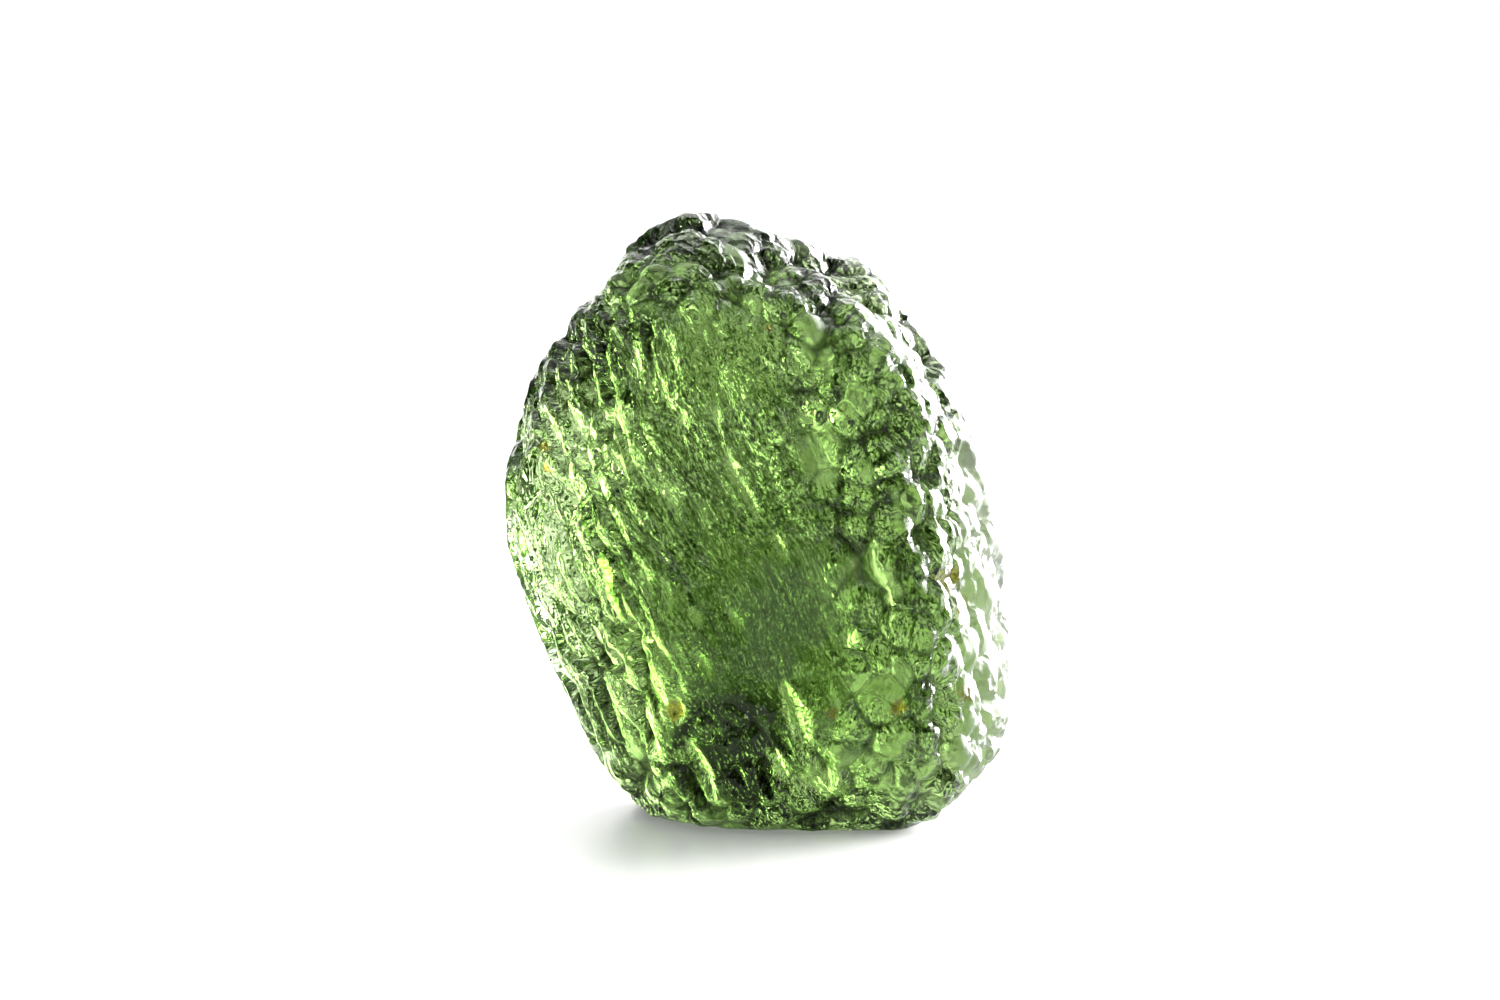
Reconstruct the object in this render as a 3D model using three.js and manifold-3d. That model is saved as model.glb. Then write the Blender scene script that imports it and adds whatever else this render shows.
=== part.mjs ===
// A natural moldavite: one piece of green tektite glass standing upright on a small flat spot.
// Millimetres, +Z up, the broad face looks towards -Y, the origin is under the middle of the box.
//
// The body is a soft polytope: a list of worn faces, each with a direction and a distance, melted
// into one another. Broad hollows, lumps and the etched sculpture are then pressed into it along
// its own normal: long grooves that follow the flow of the glass on the left and in the middle,
// and round scoops with sharp rims on the right, on top and behind.
import * as THREE from "three";
import { mergeVertices } from "three/addons/utils/BufferGeometryUtils.js";
import { ImprovedNoise } from "three/addons/math/ImprovedNoise.js";
import Module from "manifold-3d";

// Driving dimensions of the finished stone.
const WIDTH = 20.8;
const DEPTH = 13.6;
const HEIGHT = 25.0;

// The faces' distances are measured from the heart of the stone, which is this high above the foot.
const HEART_HEIGHT = 12.0;
const CREASE = 18; // how sharply two faces meet: higher is crisper
const MESH_DETAIL = 21; // each edge of the starting icosahedron is cut into one more than this

// turn: degrees round the stone, 0 facing the viewer (-Y), 90 to the right (+X).
// lift: degrees above level. out: distance from the heart in mm.
const FACES = [
  { name: "broad front", turn: -4, lift: 4, out: 6.5 },
  { name: "front left shoulder", turn: -46, lift: 12, out: 8.7 },
  { name: "front left flank", turn: -54, lift: -16, out: 8.7 },
  { name: "right flank", turn: 62, lift: 5, out: 8.3 },
  { name: "right edge", turn: 92, lift: 12, out: 8.35 },
  { name: "right edge, low", turn: 94, lift: -16, out: 11.7 },
  { name: "right undercut", turn: 88, lift: -37, out: 12.1 },
  { name: "right shoulder", turn: 86, lift: 24, out: 8.8 },
  { name: "right shoulder, high", turn: 82, lift: 43, out: 9.2 },
  { name: "crown, right", turn: 84, lift: 67, out: 11.05 },
  { name: "crown", turn: -84, lift: 78, out: 14.0 },
  { name: "crown bevel, front right", turn: 24, lift: 54, out: 10.8 },
  { name: "crown bevel, front left", turn: -38, lift: 52, out: 12.1 },
  { name: "left slope", turn: -92, lift: 37, out: 11.3 },
  { name: "left edge, high", turn: -92, lift: 17, out: 10.6 },
  { name: "left edge, low", turn: -94, lift: -16, out: 11.0 },
  { name: "left undercut", turn: -88, lift: -35, out: 11.2 },
  { name: "heel, front", turn: 8, lift: -44, out: 11.4 },
  { name: "heel, front left", turn: -40, lift: -42, out: 11.4 },
  { name: "heel, back", turn: 176, lift: -46, out: 11.6 },
  { name: "back", turn: 186, lift: 4, out: 6.3 },
  { name: "back right", turn: 132, lift: 8, out: 8.2 },
  { name: "back left", turn: 234, lift: -6, out: 8.8 },
  { name: "crown bevel, back", turn: 192, lift: 54, out: 11.0 },
];

// Broad hollows (depth above 0) and swellings (below 0), each a smooth dish on the surface.
// A point given here is moved along its ray from the heart until it lies on the surface.
const DISHES = [
  { name: "notch in the right shoulder", at: [3.0, -0.6, 22.9], radius: 2.6, depth: 1.2 },
  { name: "hollow of the crown bevel", at: [0.2, -3.4, 22.8], radius: 2.4, depth: 0.6 },
  { name: "clear window", at: [1.4, -6.4, 8.2], radius: 4.0, depth: 0.75 },
  { name: "dark pocket at the foot", at: [-1.4, -5.8, 3.8], radius: 2.6, depth: 0.9 },
  { name: "left waist", at: [-7.0, -4.6, 7.6], radius: 3.0, depth: 0.55 },
  { name: "upper right face", at: [3.4, -6.0, 17.4], radius: 2.7, depth: 0.45 },
  { name: "middle of the face", at: [-3.2, -6.6, 14.0], radius: 4.5, depth: 0.35 },
  { name: "right flank, low", at: [9.2, -1.0, 7.0], radius: 3.4, depth: 0.45 },
  { name: "back hollow", at: [-2.0, 6.4, 13.5], radius: 5.0, depth: 0.9 },
  { name: "back hollow, low", at: [3.8, 6.2, 6.5], radius: 3.4, depth: 0.6 },
  { name: "back hollow, high", at: [3.0, 5.6, 19.0], radius: 2.8, depth: 0.5 },
];

// Single gouges (depth above 0) and ledges (below 0), from one point to another.
const GOUGES = [
  { name: "upper left gouge", from: [-6.6, -5.8, 21.0], to: [-4.6, -6.5, 17.6], radius: 1.1, depth: 0.5 },
  { name: "upper left gouge, outer", from: [-8.6, -4.4, 18.6], to: [-6.8, -5.8, 14.4], radius: 1.1, depth: 0.5 },
  { name: "left gouge", from: [-9.4, -3.2, 13.8], to: [-7.6, -5.2, 9.6], radius: 1.2, depth: 0.5 },
  { name: "foot gouge, left", from: [-4.0, -6.4, 6.0], to: [-2.6, -5.0, 1.8], radius: 1.1, depth: 0.5 },
  { name: "foot gouge, middle", from: [0.0, -6.8, 6.4], to: [1.6, -5.4, 2.0], radius: 1.2, depth: 0.6 },
  { name: "foot gouge, right", from: [2.2, -6.8, 4.8], to: [3.6, -5.0, 1.4], radius: 1.1, depth: 0.5 },
  { name: "face step", from: [0.9, -6.6, 18.8], to: [1.8, -6.6, 15.2], radius: 1.2, depth: 0.45 },
  { name: "ledge above the window", from: [3.9, -6.6, 12.2], to: [5.3, -6.2, 9.6], radius: 1.2, depth: -0.4 },
  { name: "ledge beside the window", from: [5.4, -6.2, 9.4], to: [4.6, -6.4, 5.6], radius: 1.2, depth: -0.4 },
];

// The etched sculpture.
const FLOW = new THREE.Vector3(0.42, 0.1, -0.9).normalize(); // down and to the right on the face
const GROOVE = { across: 2.2, along: 8, depth: 0.6 };
const SCOOP = { across: 2.8, along: 2.8, depth: 0.7 };
const COMBED_EDGE = 2.6; // grooves give way to scoops right of here, in mm
const COMBED_TOP = 21.0; // and above here
const COMBED_BLEND = 1.8;
const LUMP = { wave: 5.5, height: 0.45 };
const SWIRL = { wave: 9.0, shift: 1.1 }; // bends the flow lines

const noise = new ImprovedNoise();

function outward({ turn, lift }) {
  const t = THREE.MathUtils.degToRad(turn);
  const l = THREE.MathUtils.degToRad(lift);
  return new THREE.Vector3(Math.sin(t) * Math.cos(l), -Math.cos(t) * Math.cos(l), Math.sin(l));
}

const planes = FACES.map((face) => ({ normal: outward(face), out: face.out }));

// Where a ray from the heart meets the soft polytope.
function reach(direction) {
  let sum = 0;
  for (const { normal, out } of planes) {
    sum += Math.max(0, normal.dot(direction) / out) ** CREASE;
  }
  return sum ** (-1 / CREASE);
}

// The soft polytope's own normal at a point, measured from the heart.
function normalAt(point) {
  const sum = new THREE.Vector3();
  for (const { normal, out } of planes) {
    const share = Math.max(0, normal.dot(point) / out);
    sum.addScaledVector(normal, share ** (CREASE - 1) / out);
  }
  return sum.normalize();
}

// Three fixed random numbers from 0 to 1 for one cell of a grid.
function scatter(i, j, k) {
  const wave = Math.sin(i * 127.1 + j * 311.7 + k * 74.7) * 43758.5453;
  const first = wave - Math.floor(wave);
  const second = first * 157.31 - Math.floor(first * 157.31);
  const third = second * 113.97 - Math.floor(second * 113.97);
  return [first, second, third];
}

// Distance from a point to the nearest of the scattered cell middles, in cells.
function toNearestMiddle(x, y, z) {
  const [ci, cj, ck] = [Math.floor(x), Math.floor(y), Math.floor(z)];
  let nearest = Infinity;
  for (let i = ci - 1; i <= ci + 1; i++) {
    for (let j = cj - 1; j <= cj + 1; j++) {
      for (let k = ck - 1; k <= ck + 1; k++) {
        const [a, b, c] = scatter(i, j, k);
        nearest = Math.min(nearest, Math.hypot(i + a - x, j + b - y, k + c - z));
      }
    }
  }
  return nearest;
}

const acrossFace = new THREE.Vector3(-FLOW.z, 0, FLOW.x).normalize();
const intoStone = new THREE.Vector3().crossVectors(FLOW, acrossFace);

// Cells stretched along the flow, as a height: low and round in a cell's middle, a sharp rim
// where two cells meet.
function cells(point, { across, along, depth }) {
  const rim = toNearestMiddle(
    point.dot(FLOW) / along,
    point.dot(acrossFace) / across,
    point.dot(intoStone) / across,
  );
  return depth * (Math.min(rim, 1) ** 2 - 0.35);
}

function smoothNoise(point, wave, part) {
  return noise.noise(point.x / wave + part, point.y / wave, point.z / wave);
}

function swirled(point) {
  const shift = (part) => SWIRL.shift * smoothNoise(point, SWIRL.wave, part);
  return point.clone().add(new THREE.Vector3(shift(11.3), shift(47.9), shift(83.1)));
}

// 1 in the middle of a dish or gouge, falling smoothly to 0 at its radius.
function dish(distance, radius) {
  return distance < radius ? (1 - (distance / radius) ** 2) ** 2 : 0;
}

const heart = new THREE.Vector3(0, 0, HEART_HEIGHT);

function onSurface(place) {
  const direction = new THREE.Vector3(...place).sub(heart).normalize();
  return direction.multiplyScalar(reach(direction)).add(heart);
}

const dishes = DISHES.map((item) => ({ ...item, middle: onSurface(item.at) }));
const gouges = GOUGES.map((item) => ({
  ...item,
  line: new THREE.Line3(onSurface(item.from), onSurface(item.to)),
}));

// 0 well below an edge and 1 well past it, with a smooth change between.
function past(value, edge) {
  return THREE.MathUtils.smoothstep(value, edge - COMBED_BLEND, edge + COMBED_BLEND);
}

// How far the surface stands above the soft polytope at a point of it, in mm.
function relief(point) {
  const nearest = new THREE.Vector3();
  let height = LUMP.height * smoothNoise(point, LUMP.wave, 5.7);
  for (const { middle, radius, depth } of dishes) {
    height -= depth * dish(point.distanceTo(middle), radius);
  }
  for (const { line, radius, depth } of gouges) {
    line.closestPointToPoint(point, true, nearest);
    height -= depth * dish(point.distanceTo(nearest), radius);
  }
  const bent = swirled(point);
  const scooped = Math.max(past(bent.x, COMBED_EDGE), past(bent.z, COMBED_TOP));
  height += (1 - scooped) * cells(bent, GROOVE);
  height += scooped * cells(bent, SCOOP);
  return height;
}

function rawStone() {
  const ball = new THREE.IcosahedronGeometry(1, MESH_DETAIL);
  ball.deleteAttribute("normal");
  ball.deleteAttribute("uv");
  const stone = mergeVertices(ball, 1e-5);
  const position = stone.getAttribute("position");
  const direction = new THREE.Vector3();
  const evenSpread = new THREE.Vector3(WIDTH, DEPTH, HEIGHT);
  for (let i = 0; i < position.count; i++) {
    direction.fromBufferAttribute(position, i).multiply(evenSpread).normalize();
    const fromHeart = direction.clone().multiplyScalar(reach(direction));
    const point = fromHeart.clone().add(heart);
    point.addScaledVector(normalAt(fromHeart), relief(point));
    position.setXYZ(i, point.x, point.y, point.z);
  }
  return stone;
}

const wasm = await Module();
wasm.setup();

function toSolid(geometry) {
  return new wasm.Manifold(
    new wasm.Mesh({
      numProp: 3,
      vertProperties: new Float32Array(geometry.getAttribute("position").array),
      triVerts: new Uint32Array(geometry.index.array),
    }),
  );
}

function toGeometry(solid) {
  const { numProp, vertProperties, triVerts } = solid.getMesh();
  const geometry = new THREE.BufferGeometry();
  const buffer = new THREE.InterleavedBuffer(vertProperties, numProp);
  geometry.setAttribute("position", new THREE.InterleavedBufferAttribute(buffer, 3, 0));
  geometry.setIndex(new THREE.BufferAttribute(triVerts, 1));
  return geometry.toNonIndexed();
}

// Everything below the foot plane is worn away, which leaves the small flat spot.
function wornFlat(stone) {
  const slab = new THREE.BoxGeometry(4 * WIDTH, 4 * DEPTH, HEIGHT);
  slab.deleteAttribute("normal");
  slab.deleteAttribute("uv");
  slab.translate(0, 0, -HEIGHT / 2);
  return toGeometry(toSolid(stone).subtract(toSolid(mergeVertices(slab))));
}

// Sizes the stone to its driving dimensions and sets the origin under the middle of its box.
function sized(geometry) {
  geometry.computeBoundingBox();
  const size = geometry.boundingBox.getSize(new THREE.Vector3());
  geometry.scale(WIDTH / size.x, DEPTH / size.y, HEIGHT / size.z);
  geometry.computeBoundingBox();
  const middle = geometry.boundingBox.getCenter(new THREE.Vector3());
  geometry.translate(-middle.x, -middle.y, -geometry.boundingBox.min.z);
  geometry.computeVertexNormals();
  return geometry;
}

const bottleGreenGlass = new THREE.MeshStandardMaterial({
  name: "moldavite_glass",
  color: 0x6f9444,
  roughness: 0.35,
  metalness: 0,
  flatShading: true,
});

const moldavite = new THREE.Mesh(sized(wornFlat(rawStone())), bottleGreenGlass);
moldavite.name = "moldavite";

const part = new THREE.Group();
part.name = "moldavite_part";
part.add(moldavite);

export default part;
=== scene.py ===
# The looks of a natural moldavite: bottle-green tektite glass, etched all over by the soil it lay in.
# One skin replaces the plain solid. It starts as a copy of the solid, is remeshed finely, and is
# then sculpted: lens-shaped cuts and fine striae along the flow of the glass, and rounded scales.
import math

import bpy
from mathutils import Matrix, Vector


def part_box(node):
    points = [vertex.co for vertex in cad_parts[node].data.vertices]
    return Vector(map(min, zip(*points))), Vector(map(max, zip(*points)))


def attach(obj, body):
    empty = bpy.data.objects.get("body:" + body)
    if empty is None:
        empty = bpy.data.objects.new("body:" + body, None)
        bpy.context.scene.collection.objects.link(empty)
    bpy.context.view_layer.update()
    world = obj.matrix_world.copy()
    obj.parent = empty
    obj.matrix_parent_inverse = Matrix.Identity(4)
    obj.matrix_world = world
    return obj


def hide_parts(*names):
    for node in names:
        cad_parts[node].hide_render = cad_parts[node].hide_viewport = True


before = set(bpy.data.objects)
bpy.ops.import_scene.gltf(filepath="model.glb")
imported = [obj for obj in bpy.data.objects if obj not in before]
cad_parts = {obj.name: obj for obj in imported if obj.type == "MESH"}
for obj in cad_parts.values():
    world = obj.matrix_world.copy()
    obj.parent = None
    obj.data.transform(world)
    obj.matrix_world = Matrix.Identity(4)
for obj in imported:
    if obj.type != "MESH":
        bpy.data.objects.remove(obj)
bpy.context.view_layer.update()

MM = 0.001
STONE = "moldavite"
LOW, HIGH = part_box(STONE)
HEIGHT = (HIGH - LOW).z

# The photograph's view: a long lens from a little above the stone's waist.
IMAGE_WIDTH = 1500
LENS = 100 * MM
SENSOR = 36 * MM
MM_PER_PIXEL = 0.0411
CAMERA_LIFT = math.radians(6)
FRAME_CENTRE = Vector((-0.4, 0, 13.2)) * MM  # what the middle of the picture looks at

# The grain of the skin.
VOXEL = 0.14 * MM
DEEPEST = 1.2  # in mm, the most that is etched away
FOOT_RISE = (0.1, 0.7)  # in mm, the height over which the etching sets in above the flat spot
SCALE_CELL = (1.15, 1.35)  # in mm, a scale across the flow and along it
SWELLING = 0.22  # in mm, grown before it is etched, so that the highest rims reach the solid's faces
WINDOW = (0.8, -6.5, 8.0)  # the middle of the smooth clear window on the broad face, in mm
POCKET = (-1.3, -5.8, 3.4)  # the middle of the pocket above the foot, which the material darkens with painted shade, in mm

# Patches of painted light and painted shade on the broad face: x, z and reach in mm, and how much
# brighter, or darker if below 0.
LIT_AND_SHADED_PATCHES = [
    (-1.0, 20.5, 3.8, 0.30),
    (-5.3, 6.2, 3.4, 0.36),
    (-4.8, 12.6, 3.6, -0.10),
    (3.9, 18.8, 2.8, 0.24),
    (2.9, 5.0, 2.4, 0.10),
]

# Specks of clay left on the broad face: x, z and radius, in mm.
CLAY = [
    (0.33, 20.6, 0.22),
    (-3.4, 5.3, 0.55),
    (-8.75, 15.6, 0.3),
    (-8.6, 14.8, 0.25),
    (7.6, 10.6, 0.75),
    (8.1, 9.3, 0.6),
    (8.2, 6.0, 0.5),
    (2.9, 5.3, 0.3),
    (5.5, 5.6, 0.4),
]

# Long lens-shaped cuts on the broad face: start and end (x, z), width and depth, all in mm.
LENSES = [
    ((-6.7, 22.4), (-6.1, 20.9), 0.60, 0.40),
    ((-6.1, 21.0), (-4.9, 18.4), 0.35, 0.30),
    ((-5.7, 20.6), (-4.7, 18.4), 0.35, 0.30),
    ((-7.4, 19.7), (-6.9, 18.4), 0.60, 0.40),
    ((-8.0, 20.2), (-7.9, 18.9), 0.30, 0.35),
    ((-7.2, 18.3), (-6.7, 17.5), 0.55, 0.40),
    ((-8.3, 18.2), (-7.8, 17.5), 0.50, 0.40),
    ((-7.9, 17.4), (-7.2, 15.8), 0.65, 0.45),
    ((-6.6, 17.6), (-6.0, 16.1), 0.45, 0.35),
    ((-9.1, 17.6), (-7.8, 14.9), 0.45, 0.45),
    ((-7.8, 15.9), (-6.7, 14.7), 0.55, 0.45),
    ((-6.0, 15.6), (-5.3, 14.1), 0.40, 0.45),
    ((-8.7, 14.9), (-7.4, 12.8), 0.60, 0.55),
    ((-6.8, 14.8), (-6.2, 13.3), 0.35, 0.40),
    ((-4.0, 14.5), (-3.2, 13.0), 0.65, 0.45),
    ((-3.3, 17.1), (-2.9, 16.2), 0.30, 0.30),
    ((-1.5, 15.6), (0.2, 12.7), 0.25, 0.30),
    ((-0.7, 14.3), (0.1, 12.8), 0.25, 0.30),
    ((-5.2, 9.2), (-5.0, 8.2), 0.45, 0.45),
    ((-4.5, 8.4), (-4.3, 7.6), 0.40, 0.40),
    ((-5.6, 8.3), (-5.2, 7.6), 0.40, 0.40),
    ((-6.0, 7.8), (-5.3, 6.4), 0.45, 0.45),
    ((-4.8, 7.9), (-4.4, 7.2), 0.40, 0.40),
    ((-2.9, 9.7), (-2.3, 8.6), 0.30, 0.35),
    ((-2.7, 8.1), (-1.9, 6.5), 0.30, 0.35),
    ((-4.1, 8.0), (-3.7, 7.2), 0.30, 0.35),
    ((-3.5, 6.1), (-3.2, 4.6), 0.45, 0.45),
    ((-3.1, 4.4), (-1.7, 1.1), 0.50, 0.50),
    ((-1.3, 9.6), (-0.7, 8.5), 0.25, 0.30),
    ((0.8, 6.7), (1.9, 2.9), 0.80, 0.70),
    ((0.1, 3.9), (1.7, 1.1), 0.75, 0.60),
    ((2.0, 2.4), (2.6, 0.9), 0.55, 0.50),
    ((1.1, 19.9), (1.7, 18.6), 0.60, 0.50),
    ((1.9, 19.0), (2.3, 18.1), 0.50, 0.45),
    ((1.5, 17.5), (2.1, 16.8), 0.45, 0.40),
    ((-4.8, 11.4), (-4.4, 9.7), 0.40, 0.35),
    ((-3.9, 10.8), (-3.5, 9.1), 0.30, 0.30),
    ((-1.5, 15.9), (-0.9, 14.2), 0.25, 0.30),
    ((-1.8, 17.6), (-1.6, 16.5), 0.25, 0.30),
    ((0.3, 12.7), (1.2, 11.2), 0.25, 0.30),
]
# Cuts between the ribs above the foot, in the same form; the material paints shade into them by their
# depth.
GAPS = [
    ((0.2, 5.0), (1.3, 3.0), 0.60, 0.70),
    ((-0.4, 3.6), (0.6, 1.5), 0.55, 0.65),
    ((1.9, 4.3), (2.9, 2.0), 0.60, 0.65),
    ((-3.4, 2.9), (-2.3, 1.0), 0.75, 0.60),
    ((-1.7, 5.3), (-0.6, 4.2), 0.35, 0.45),
    ((-1.3, 3.2), (-0.5, 2.0), 0.40, 0.45),
    ((-2.0, 4.9), (-1.5, 3.6), 0.35, 0.45),
]
FLOW = Vector((0.42, 0.1, -0.9)).normalized()  # the grooves run down and to the right
ACROSS = Vector((-FLOW.z, 0, FLOW.x)).normalized()
INTO = FLOW.cross(ACROSS)

# The softboxes: name, turn and lift in degrees, distance and size in m, and radiance.
SOFTBOXES = [
    ("back_right_softbox", 120, 3, 0.16, 0.115, 64.0),
    ("overhead_softbox", 165, 72, 0.20, 0.10, 3.6),
]


class Wire:
    """A socket in a node tree. Arithmetic on wires adds Math or Vector Math nodes."""

    def __init__(self, socket):
        self.socket = socket

    def node(self, kind, settings, values, output=0):
        return add_node(self.socket.id_data, kind, settings, values, output)

    def is_vector(self):
        return self.socket.type in ("VECTOR", "RGBA")

    def also(self, output):
        """Another output of the same node."""
        return Wire(self.socket.node.outputs[output])

    def math(self, operation, first, second=0.0, third=0.0):
        values = {0: first, 1: second, 2: third}
        return self.node("ShaderNodeMath", {"operation": operation}, values)

    def vector_math(self, operation, first, second):
        settings = {"operation": operation}
        return self.node("ShaderNodeVectorMath", settings, {0: first, 1: second})

    def __add__(self, other):
        if self.is_vector():
            return self.vector_math("ADD", self, other)
        return self.math("ADD", self, other)

    def __radd__(self, other):
        return self.math("ADD", other, self)

    def __sub__(self, other):
        if self.is_vector():
            return self.vector_math("SUBTRACT", self, other)
        return self.math("SUBTRACT", self, other)

    def __rsub__(self, other):
        return self.math("SUBTRACT", other, self)

    def __mul__(self, other):
        if self.is_vector():
            values = {0: self, "Scale": other}
            return self.node("ShaderNodeVectorMath", {"operation": "SCALE"}, values)
        return self.math("MULTIPLY", self, other)

    def __rmul__(self, other):
        return self * other

    def __truediv__(self, other):
        return self.math("DIVIDE", self, other)

    def dot(self, direction):
        other = direction if isinstance(direction, Wire) else tuple(direction)
        values = {0: self, 1: other}
        settings = {"operation": "DOT_PRODUCT"}
        return self.node("ShaderNodeVectorMath", settings, values, "Value")

    def length(self):
        settings = {"operation": "LENGTH"}
        return self.node("ShaderNodeVectorMath", settings, {0: self}, "Value")

    def at_most(self, other):
        return self.math("MINIMUM", self, other)

    def at_least(self, other):
        return self.math("MAXIMUM", self, other)

    def past(self, start, end):
        """0 before start and 1 after end, with a smooth change between; end may be the lower one."""
        values = {"Value": self, "From Min": start, "From Max": end}
        return self.node("ShaderNodeMapRange", {"interpolation_type": "SMOOTHSTEP"}, values)


def add_node(tree, kind, settings, values, output=0):
    """Adds a node, with its settings first and then the values or links of its sockets."""
    made = tree.nodes.new(kind)
    for name, value in settings.items():
        setattr(made, name, value)
    for name, value in values.items():
        if isinstance(value, Wire):
            tree.links.new(value.socket, made.inputs[name])
        else:
            made.inputs[name].default_value = value
    return Wire(made.outputs[output]) if made.outputs else None


def noise(place, size, detail=2.0, roughness=0.5):
    """Soft noise from 0 to 1, with lumps of about that size."""
    values = {"Vector": place, "Scale": 1 / size, "Detail": detail, "Roughness": roughness}
    return place.node("ShaderNodeTexNoise", {}, values, 0)


def vector_noise(place, size, amount):
    """A vector of up to about that length, which turns slowly from place to place."""
    values = {"Vector": place, "Scale": 1 / size, "Detail": 1.0}
    colour = place.node("ShaderNodeTexNoise", {}, values, "Color")
    return (colour - (0.5, 0.5, 0.5)) * (2 * amount)


def mixed(amount, first, second):
    """A colour between two colours."""
    values = {"Factor": amount, 6: first, 7: second}
    return amount.node("ShaderNodeMix", {"data_type": "RGBA"}, values, 2)


def stretched(place, across, along):
    """The place in cells that are longer along the flow than across it."""
    values = {
        "X": place.dot(ACROSS) / across,
        "Y": place.dot(INTO) / across,
        "Z": place.dot(FLOW) / along,
    }
    return place.node("ShaderNodeCombineXYZ", {}, values)


def etched(place, across, along, bowl=1.0, lean=(0, 0, 0), tumble=0.0, soft=0.0):
    """An etched pattern of cells. Bowl above 0 hollows each cell, with a sharp rim between cells, and
    below 0 rounds it up, with a sharp gap. Lean tips all cells the same way, as overlapping scales
    are, and tumble tips each one its own way. Soft makes a slope of the step between two cells."""
    cells = stretched(place, across, along)
    values = {"Vector": cells, "Scale": 1.0, "Randomness": 1.0}
    feature = "F1"
    if soft:
        feature = "SMOOTH_F1"
        values["Smoothness"] = soft
    near = place.node("ShaderNodeTexVoronoi", {"feature": feature}, values, "Distance")
    height = near * near * (1.6 * bowl)
    tip = (near.also("Color") - (0.5, 0.5, 0.5)) * (2 * tumble) + tuple(lean)
    return height + (cells - near.also("Position")).dot(tip)


def lens(place, start, end, width, depth):
    """A long lens-shaped cut between two points (x, z) of the broad face. Its floor slopes up to the
    right over the width, and its left wall is steep, so that it catches light from the right."""
    start, end = Vector((start[0], 0, start[1])), Vector((end[0], 0, end[1]))
    length = (end - start).length
    down = (end - start) / length
    right = Vector((-down.z, 0, down.x))
    along = place.dot(down / length) - start.dot(down) / length
    across = place.dot(right) - start.dot(right)
    taper = along * (1 - along) * 4
    section = (1 - across / width).at_most(1 + across / 0.2)
    return (section + taper.at_most(1.0) - 1).at_least(0.0) * depth


def sculpture():
    """The etched relief as a Geometry Nodes group: it moves each point of the skin inwards. It also
    keeps where the point was, in mm, and how deep it went, for the material."""
    group = bpy.data.node_groups.new("etching", "GeometryNodeTree")
    group.interface.new_socket("Geometry", in_out="INPUT", socket_type="NodeSocketGeometry")
    group.interface.new_socket("Geometry", in_out="OUTPUT", socket_type="NodeSocketGeometry")
    skin = add_node(group, "NodeGroupInput", {}, {})
    position = add_node(group, "GeometryNodeInputPosition", {}, {})
    normal = add_node(group, "GeometryNodeInputNormal", {}, {})
    place = position * (1 / MM)
    skin = kept(skin, "laid", place)
    skin = kept(skin, "facet", hand_cuts(place, LENSES))
    skin = kept(skin, "depth", relief(place, normal, stored(skin, "facet")) * -1)
    swelling = place.dot((0, 0, 1)).past(*FOOT_RISE) * SWELLING
    target = position + normal * ((swelling - stored(skin, "depth")) * MM)
    target = target.vector_math("MINIMUM", target, tuple(HIGH))
    target = target.vector_math("MAXIMUM", target, tuple(LOW))
    sculpted = skin.node("GeometryNodeSetPosition", {}, {"Geometry": skin, "Position": target})
    add_node(group, "NodeGroupOutput", {}, {"Geometry": sculpted})
    return group


def kept(skin, name, value):
    """The skin with the value kept at each point under that name."""
    settings = {"data_type": "FLOAT_VECTOR" if value.is_vector() else "FLOAT"}
    values = {"Geometry": skin, "Name": name, "Value": value}
    return skin.node("GeometryNodeStoreNamedAttribute", settings, values)


def stored(skin, name):
    settings = {"data_type": "FLOAT"}
    return skin.node("GeometryNodeInputNamedAttribute", settings, {"Name": name}, "Attribute")


def wandering(place):
    """The place bent gently, as the flow of the glass is, and the same with ragged edges as well."""
    bent = place + vector_noise(place, 8.0, 1.2)
    return bent, bent + vector_noise(bent, 1.1, 0.15)


def zones(place):
    """How scaly and how lens-cut the skin is at a place, each from 0 to 1, and how much of the scaly
    part is smooth, pale bulges. The rest has fine striae."""
    x, z = place.dot((1, 0, 0)), place.dot((0, 0, 1))
    pocket = (place - POCKET).length().past(2.8, 1.8)
    rightward = x + (z - 8.5).at_least(0.0) * 0.27
    scaly = rightward.past(1.8, 4.6).at_least(z.past(20.4, 21.8)).at_least(z.past(3.8, 2.6))
    scaly = scaly.at_least(pocket)
    lenses = x.past(-2.8, -5.0) * (1 - scaly)
    shoulder = (x + (z - 10) * 0.35).past(6.0, 7.5)
    clouds = noise(place, 2.0, 2.0).past(0.52, 0.42) * scaly * (1 - pocket) * (1 - shoulder * 0.6)
    return scaly, lenses, clouds


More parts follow.
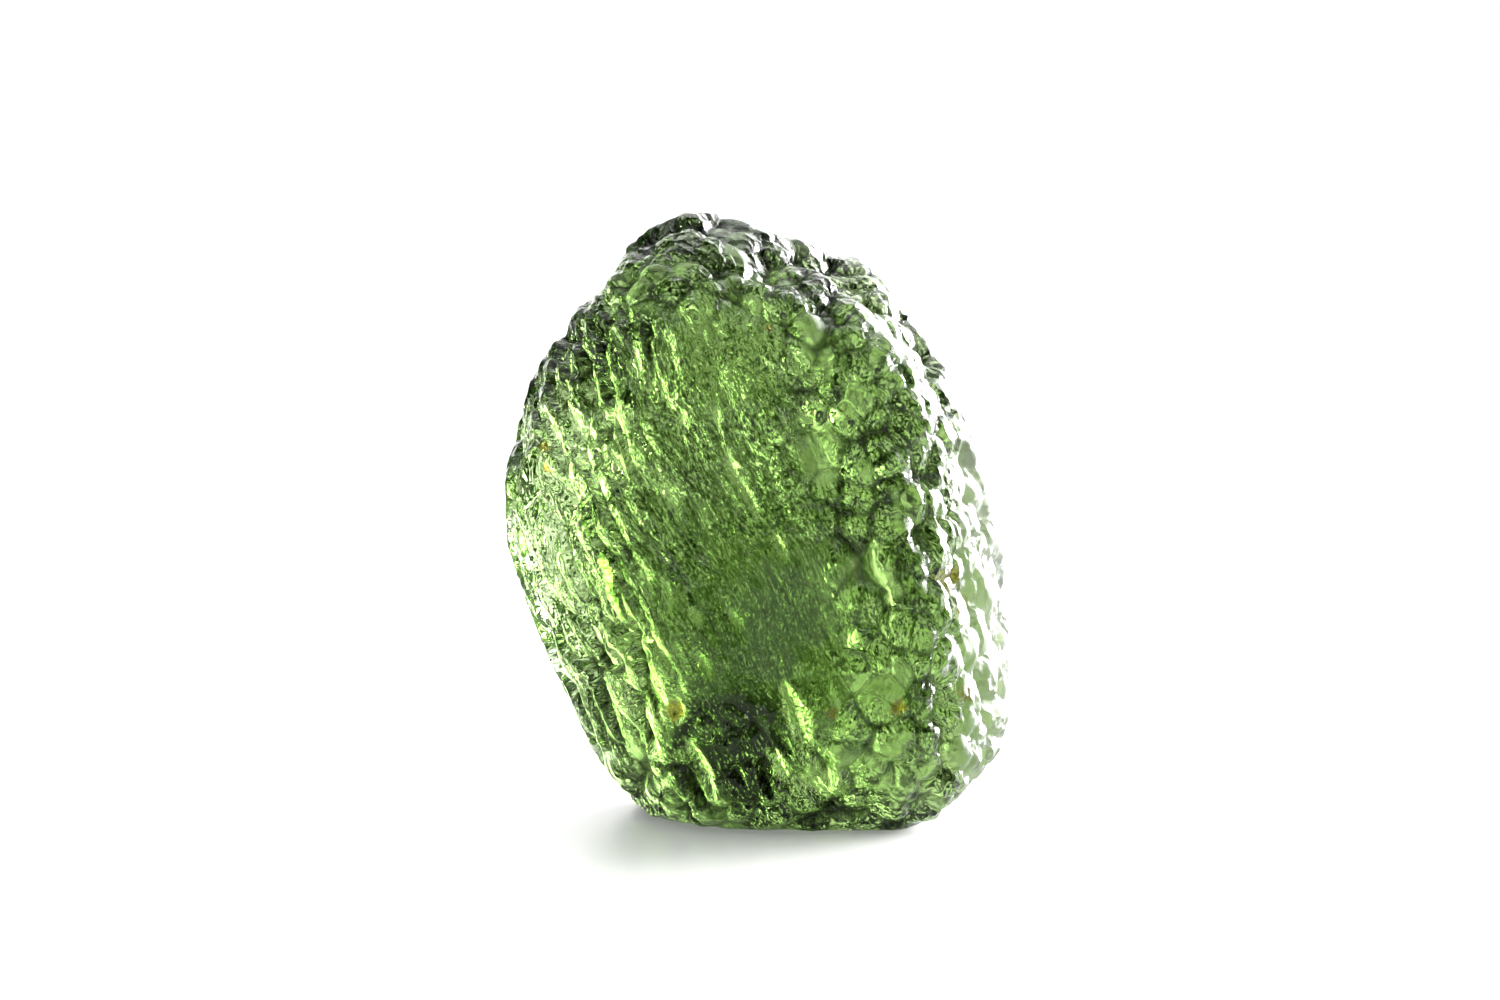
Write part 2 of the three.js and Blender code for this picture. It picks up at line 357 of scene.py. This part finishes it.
def relief(place, normal, hand_cut):
    """How far the skin stands off the solid at a place, in mm; it is 0 at the highest rims."""
    facing = normal.dot((0, 1, 0))
    worn = facing.past(-0.28, -0.05) * facing.past(0.45, 0.15)
    bent, ragged = wandering(place)
    scaly, lenses, clouds = zones(bent)
    window = windowed(place)

    scales = etched(ragged, *SCALE_CELL, bowl=-1.0, tumble=0.6, soft=0.12) * 0.46
    grains = etched(ragged + (7.7, 2.9, 1.1), 0.42, 0.5) * 0.13 - 0.05
    cuts = etched(ragged, 1.0, 3.0, bowl=-0.7, lean=(1.0, 0, 0.3), tumble=0.3, soft=0.15) * 0.6 - 0.1
    cuts = cuts * (1 - bent.dot((1, 0, 0)).past(-7.6, -9.4) * 0.55)
    aside = ragged + (3.1, 1.7, 5.3)
    striae = etched(aside, 0.5, 3.0, lean=(0.6, 0, 0), tumble=0.4, soft=0.1) * 0.26 - 0.14
    threads = etched(ragged + (1.1, 4.7, 2.3), 0.3, 1.8) * 0.1 - 0.05

    broad = scales * scaly + cuts * lenses + striae * (1 - scaly - lenses).at_least(0.0)
    fine = grains * (scaly - clouds * 0.8) + threads * (1 - scaly)
    off = (broad + fine).at_most(0.0) * (1 - 0.6 * window) * (1 - 0.5 * worn)
    off = off - hand_cut - hand_cuts(place, GAPS)
    foot = place.dot((0, 0, 1)).past(*FOOT_RISE)
    return off.at_least(-DEEPEST) * foot


def hand_cuts(place, cuts):
    """The depth in mm of lens-shaped cuts of the broad face."""
    front = place.dot((0, 1, 0)).past(-0.5, -2.0)
    deepest = 0.0
    for start, end, width, depth in cuts:
        deepest = lens(place, start, end, width, depth).at_least(deepest)
    return deepest * front


def windowed(place):
    """1 in the clear, smoother window low on the broad face, and 0 away from it."""
    return (place - WINDOW).length().past(4.6, 2.2)


def apply_modifier(piece, kind, **settings):
    modifier = piece.modifiers.new(kind.lower(), kind)
    for name, value in settings.items():
        setattr(modifier, name, value)
    bpy.ops.object.modifier_apply(modifier=modifier.name)


def make_skin():
    """The visible stone: the solid's own form with the etched surface worked into it."""
    skin = bpy.data.objects.new("moldavite_skin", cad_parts[STONE].data.copy())
    bpy.context.scene.collection.objects.link(skin)
    bpy.ops.object.select_all(action="DESELECT")
    skin.select_set(True)
    bpy.context.view_layer.objects.active = skin
    bpy.ops.object.mode_set(mode="EDIT")
    bpy.ops.mesh.select_all(action="SELECT")
    bpy.ops.mesh.remove_doubles(threshold=1e-6)
    bpy.ops.object.mode_set(mode="OBJECT")
    apply_modifier(skin, "SUBSURF", levels=1, render_levels=1)
    apply_modifier(skin, "REMESH", mode="VOXEL", voxel_size=VOXEL)
    apply_modifier(skin, "SMOOTH", factor=0.5, iterations=6)
    apply_modifier(skin, "NODES", node_group=sculpture())
    bpy.ops.object.shade_smooth()
    return skin


def glass():
    """Bottle-green tektite glass: it soaks up light on the way through, and its skin is clearer or
    darker from place to place, partly by its own striae and scales and partly by painted light
    and painted shade."""
    material = bpy.data.materials.new("moldavite_glass")
    material.use_nodes = True
    tree = material.node_tree
    tree.nodes.clear()
    place = add_node(tree, "ShaderNodeAttribute", {"attribute_name": "laid"}, {}, "Vector")
    depth = add_node(tree, "ShaderNodeAttribute", {"attribute_name": "depth"}, {}, "Fac")
    facet = add_node(tree, "ShaderNodeAttribute", {"attribute_name": "facet"}, {}, "Fac")
    bent, ragged = wandering(place)
    scaly, lenses, clouds = zones(bent)
    window = windowed(place)

    scales = stretched(ragged, *SCALE_CELL)
    values = {"Vector": scales, "Scale": 1.0, "Randomness": 1.0}
    edge = scales.node("ShaderNodeTexVoronoi", {"feature": "DISTANCE_TO_EDGE"}, values)
    one = scales.node("ShaderNodeTexVoronoi", {"feature": "F1"}, values, "Color").dot((1, 0, 0))
    patches = noise(bent, 2.2, 2.0)
    # Painted shade: the rims between scales are made darker, less so on the smooth pale bulges.
    painted_rim_shade = edge.past(0.12, 0.02) * (scaly - clouds * 0.6)

    stripes = noise(stretched(bent, 0.12, 1.6), 1.0, 3.0, 0.6) - 0.5
    lines = noise(stretched(bent + (2.2, 0, 5.1), 0.22, 3.2), 1.0, 1.0).past(0.66, 0.74)
    specks = noise(stretched(bent, 0.1, 0.2), 1.0, 2.0)
    rough = patches.past(0.3, 0.55) * (1 - window * 0.6) * (1 - lenses * 0.6) * (1 - clouds)
    # Painted shade: small flecks in the rough patches are made darker.
    painted_dark_flecks = specks.past(0.53, 0.60) * rough
    # Painted highlights: lighter flecks, and tiny bright specks as glints.
    light = specks.past(0.45, 0.38) * (0.4 + 0.6 * rough) + specks.past(0.36, 0.32)
    # Painted shade in hollows: the deeper the skin is etched, the darker it is painted, less so in
    # the lens-cut zone and not for the depth of the lens cuts.
    painted_hollow_shade = (depth - facet - lenses * 0.22).past(0.25, 0.6)
    # Painted light: the far right side of the stone is made pale, almost white.
    painted_flank_light = place.dot((1, 0, 0)).past(6.4, 8.2)
    far_flank = place.dot((1, 0, 0)).past(7.4, 8.6)
    pocket = (place - POCKET).length().past(3.3, 2.2)
    # Painted light: the lens cuts are made brighter, and they stay lit in the pocket above the foot.
    cut = (facet * 8).at_most(1.0)
    # Painted light: the left edge below the upper lens cuts is made brighter.
    painted_edge_glow = place.dot((1, 0, 0)).past(-6.5, -8.2) * place.dot((0, 0, 1)).past(17.0, 15.0)
    # Painted shade: the skin is darker just above the floor.
    painted_foot_shade = place.dot((0, 0, 1)).past(1.0, 0.2)
    # Painted shade: the upper left of the lens-cut zone is darker.
    painted_upper_left_shade = place.dot((-0.5, 0, 0.87)).past(17.0, 20.0) * lenses
    # Painted shade: a wedge low on the stone, rising towards the left, is darker.
    painted_heel_shade = place.dot((0.5, 0, 0.87)).past(1.8, 0.2)
    # The top of the stone: painted shade makes it darker, and its bump is stronger.
    top = place.dot((0, 0, 1)).past(20.3, 21.8) * place.dot((1, 0, 0)).past(5.0, 3.0)
    striped = stripes * 1.5 * (1 - window * 0.3 + lenses * 0.7) + lines * 0.5
    striped = striped * (1 - scaly)
    # Painted shade on each scale: lighter in its middle and darker at its rim, plus a tone that
    # differs at random from scale to scale.
    bulge_shading_and_tone = edge.past(0.02, 0.4) * 0.45 + (one - 0.5) * 0.6
    # How clear and pale the skin is painted: its own striae, scales and pale bulges, with painted
    # light and painted shade added; the lens-cut zone is made a little brighter as painted light.
    clear = 0.54 + striped + scaly * (0.34 + bulge_shading_and_tone) + clouds * 0.25 + light * 0.5
    clear = clear + lenses * 0.08 + painted_edge_glow * 0.24 - painted_upper_left_shade * 0.42 - window * 0.14
    clear = clear + cut * 0.65 - top * 0.45
    # Painted light and painted shade: the listed patches brighten or darken the broad face.
    for x, z, reach, amount in LIT_AND_SHADED_PATCHES:
        clear = clear + (place - (x, -5.5, z)).length().past(reach, reach * 0.4) * amount
    clear = clear * (1 - painted_dark_flecks * 0.75) * (1 - painted_rim_shade * 0.6) * (1 - painted_hollow_shade * 0.75)
    # Painted shade: the pocket above the foot is made darker, less so on the paler scales, the
    # lighter flecks and the lens cuts.
    painted_pocket_shade = pocket * (0.94 - (one.past(0.55, 0.8) + light) * 0.35 - cut * 0.9).at_least(0.0)
    clear = clear * (1 - painted_pocket_shade) * (1 - painted_foot_shade * 0.5) * (1 - painted_heel_shade * 0.45)
    clear = (clear + painted_flank_light * 0.9).at_least(0.04).at_most(1.0)
    pale = clear.past(0.3, 0.9) * (1 - window * 0.7)
    tone = mixed(pale, (0.75, 1.0, 0.5, 1), (0.96, 1.0, 0.95, 1))
    tone = mixed(clear * clear, (0.0, 0.0, 0.0, 1), tone)
    tone = mixed(clay(place), tone, (0.7, 0.3, 0.03, 1))

    wear = etched(bent, 0.34, 0.5, tumble=0.4)
    calm = (1 - 0.5 * window) * (1 - 0.4 * lenses) * (1 - 0.7 * clouds) * (1 + top)
    bump = {"Height": wear * calm, "Strength": 1.0, "Distance": 0.05 * MM}
    shader = {
        "Base Color": tone,
        "Roughness": noise(bent, 0.9, 3.0) * 0.12 + 0.02 + clouds * 0.15 + far_flank * 0.3,
        "IOR": 1.49,
        "Specular Tint": (0.4, 0.4, 0.4, 1),
        "Transmission Weight": 1.0,
        "Normal": wear.node("ShaderNodeBump", {}, bump),
    }
    surface = add_node(tree, "ShaderNodeBsdfPrincipled", {}, shader)
    soak = {"Color": (0.42, 0.57, 0.16, 1), "Density": 280.0}
    volume = add_node(tree, "ShaderNodeVolumeAbsorption", {}, soak)
    add_node(tree, "ShaderNodeOutputMaterial", {}, {"Surface": surface, "Volume": volume})
    return material


def clay(place):
    """The few rusty specks of clay that are left in the etched skin of the broad face."""
    ragged = place + vector_noise(place, 0.3, 0.25)
    nearest = 9.0
    for x, z, radius in CLAY:
        away = ragged - (x, 0, z)
        flat = away.vector_math("MULTIPLY", away, (1 / radius, 0, 1 / radius))
        nearest = flat.length().at_most(nearest)
    return nearest.past(1.0, 0.5) * place.dot((0, 1, 0)).past(2.0, 0.0) * 0.95


def make_floor():
    bpy.ops.mesh.primitive_plane_add(size=4.0, location=(0, 0, -0.02 * MM))
    floor = bpy.context.object
    floor.name = "floor"
    material = bpy.data.materials.new("white_table")
    material.use_nodes = True
    shader = material.node_tree.nodes["Principled BSDF"]
    shader.inputs["Base Color"].default_value = (0.4, 0.4, 0.4, 1)
    shader.inputs["Emission Color"].default_value = (1, 1, 1, 1)
    shader.inputs["Emission Strength"].default_value = 0.22
    shader.inputs["Roughness"].default_value = 0.4
    floor.data.materials.append(material)


def add_softbox(name, turn, lift, distance, size, radiance):
    """A square light that faces the stone. Turn 0 is in front, 90 to the right, 180 behind."""
    turn, lift = math.radians(turn), math.radians(lift)
    away = Vector(
        (math.sin(turn) * math.cos(lift), -math.cos(turn) * math.cos(lift), math.sin(lift))
    )
    light = bpy.data.lights.new(name, "AREA")
    light.size = size
    light.energy = radiance * math.pi * size * size
    lamp = bpy.data.objects.new(name, light)
    lamp.location = Vector((0, 0, HEIGHT / 2)) + away * distance
    lamp.rotation_euler = away.to_track_quat("Z", "Y").to_euler()
    lamp.visible_camera = False
    bpy.context.scene.collection.objects.link(lamp)


def light_studio():
    world = bpy.data.worlds.new("white_studio")
    bpy.context.scene.world = world
    world.use_nodes = True
    tree = world.node_tree
    tree.nodes.clear()
    direction = add_node(tree, "ShaderNodeTexCoord", {}, {}, "Generated")
    behind = direction.dot((0.1, 0.99, 0.05)).past(0.6, 0.93)
    above = direction.dot((0, 0, 1)).past(0.5, 0.85)
    aside = direction.dot((0.84, 0.52, 0.12)).past(0.68, 0.93)
    surround = 0.05 + behind * 2.8 + above * 2.0 + aside * 16.0
    seen = add_node(tree, "ShaderNodeLightPath", {}, {}, "Is Camera Ray")
    strength = surround * (1 - seen) + seen * 1.0
    shade = {"Color": (1, 1, 1, 1), "Strength": strength}
    background = add_node(tree, "ShaderNodeBackground", {}, shade)
    add_node(tree, "ShaderNodeOutputWorld", {}, {"Surface": background})
    for softbox in SOFTBOXES:
        add_softbox(*softbox)


def place_camera():
    camera = bpy.data.cameras.new("camera")
    camera.lens = LENS / MM
    camera.sensor_width = SENSOR / MM
    camera.clip_start = 1 * MM
    distance = LENS / SENSOR * IMAGE_WIDTH * MM_PER_PIXEL * MM
    away = Vector((0, -math.cos(CAMERA_LIFT), math.sin(CAMERA_LIFT)))
    holder = bpy.data.objects.new("camera", camera)
    holder.location = FRAME_CENTRE + away * distance
    holder.rotation_euler = away.to_track_quat("Z", "Y").to_euler()
    bpy.context.scene.collection.objects.link(holder)
    bpy.context.scene.camera = holder


def set_render():
    scene = bpy.context.scene
    scene.view_settings.view_transform = "Standard"
    scene.cycles.use_denoising = True
    scene.cycles.use_adaptive_sampling = True
    scene.cycles.adaptive_threshold = 0.03
    scene.cycles.max_bounces = 16
    scene.cycles.transmission_bounces = 16
    scene.cycles.sample_clamp_indirect = 10.0


place_camera()
light_studio()
make_floor()
set_render()

stone = make_skin()
stone.data.materials.clear()
stone.data.materials.append(glass())
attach(stone, "root")
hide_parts(STONE)
